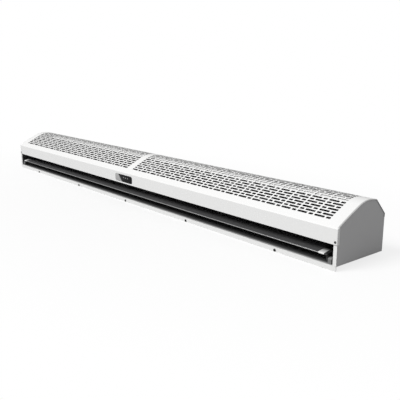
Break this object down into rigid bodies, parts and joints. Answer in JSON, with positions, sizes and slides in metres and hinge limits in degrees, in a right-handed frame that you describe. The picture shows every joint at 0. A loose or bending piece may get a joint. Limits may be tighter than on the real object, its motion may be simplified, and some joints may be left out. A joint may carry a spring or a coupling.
{
  "type": "air curtain",
  "caption": "Long wall-mounted cross-flow air curtain with a slotted curved cover, a display window, a hinged air vane in the outlet and two fan wheels on one motor.",
  "frame": {"origin": "centre of the four wall bolts, in the plane of the wall", "axes": "+X along the length, to the right as seen from the outlet side, -Y to the outlet side, +Z away from the wall"},
  "size_m": [1.8, 0.1905, 0.1539],
  "materials": {
    "white_paint": "satin powder coat",
    "grey_paint": "satin powder coat",
    "galvanised": "galvanised",
    "duct_black": "matt black",
    "vane_metal": "anodised",
    "wheel_metal": "mill",
    "shaft_steel": "ground",
    "motor_black": "satin",
    "cast_shield": "cast",
    "bearing_bronze": "sintered",
    "black_rubber": "matt",
    "white_plastic": "moulded",
    "grey_plastic": "moulded",
    "lens_black": "gloss",
    "board_green": "lacquered board",
    "can_metal": "drawn",
    "black_screws": "blackened",
    "zinc_screws": "zinc plated"
  },
  "bodies": {
    "housing": {"front_cover": "white_paint", "base_plate": "white_paint", "back_plate": "white_paint", "back_screws": "zinc_screws", "wall_plate": "galvanised", "left_end_plate": "grey_paint", "right_end_plate": "grey_paint", "left_duct_cheek": "white_paint", "right_duct_cheek": "white_paint", "rear_scroll": "duct_black", "tongue_plate": "duct_black", "display_lens": "lens_black", "display_housing": "grey_plastic", "display_board": "board_green", "fascia_screws": "black_screws", "lip_screws": "black_screws", "lap_screws": "zinc_screws", "end_plate_screws": "zinc_screws", "left_bearing_bush": "black_rubber", "right_bearing_bush": "black_rubber", "left_bearing": "bearing_bronze", "right_bearing": "bearing_bronze", "motor_core": "motor_black", "left_motor_shield": "cast_shield", "right_motor_shield": "cast_shield", "motor_strap": "galvanised", "left_vane_bracket": "grey_plastic", "right_vane_bracket": "grey_plastic", "vane_bracket_screws": "zinc_screws", "control_tray": "white_plastic", "control_lid": "white_plastic", "control_board": "board_green", "terminal_block": "white_plastic", "capacitor": "can_metal", "capacitor_clip": "galvanised", "cable_grommet": "black_rubber"},
    "rotor": {"motor_shaft": "shaft_steel", "left_fan_wheel": "wheel_metal", "right_fan_wheel": "wheel_metal", "left_fan_axle": "shaft_steel", "right_fan_axle": "shaft_steel", "hub_screws": "black_screws"},
    "vane": {"vane_blade": "vane_metal", "left_vane_cap": "white_plastic", "right_vane_cap": "white_plastic"}
  },
  "joints": [
    {"name": "fan_spin", "type": "hinge", "parent": "housing", "child": "rotor", "pos_m": [0, 0.005, 0.089], "axis": [1, 0, 0], "continuous": true},
    {"name": "vane_tilt", "type": "hinge", "parent": "housing", "child": "vane", "pos_m": [0, -0.094, 0.0215], "axis": [1, 0, 0], "range_deg": [-25, 25]}
  ]
}
